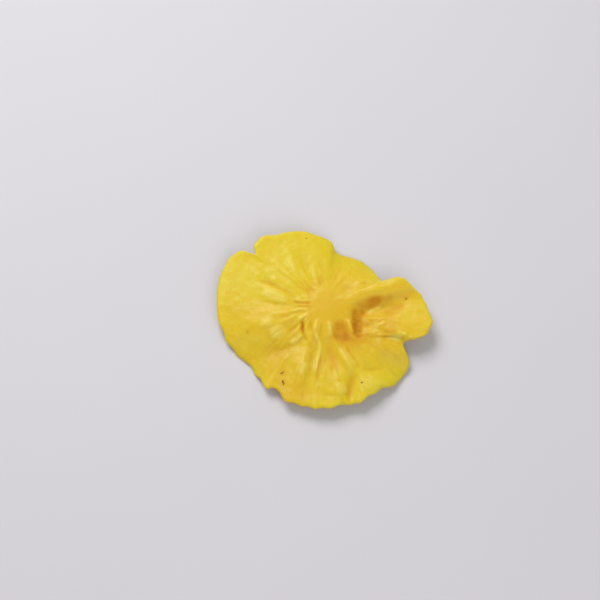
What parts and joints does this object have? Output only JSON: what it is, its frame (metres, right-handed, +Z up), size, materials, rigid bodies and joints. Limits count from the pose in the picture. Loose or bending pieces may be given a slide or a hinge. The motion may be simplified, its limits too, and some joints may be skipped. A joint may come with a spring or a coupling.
{
  "type": "dried pineapple slice",
  "caption": "Round slice of dried pineapple lying flat, with a firm core in the middle and thin golden flesh pleated round it out to a wavy, notched rim.",
  "frame": {"origin": "centre of the core's flat underside, which lies on the table", "axes": "+Z up, out of the slice's cut face; +X along the slice's longest side, towards its bent-over ridge; +Y towards the top of the picture"},
  "size_m": [0.0907, 0.0781, 0.0117],
  "materials": {
    "dried_flesh": "satin, slightly sticky, with broad soft highlights on the folds"
  },
  "bodies": {
    "root": {"slice": "dried_flesh"}
  },
  "joints": []
}
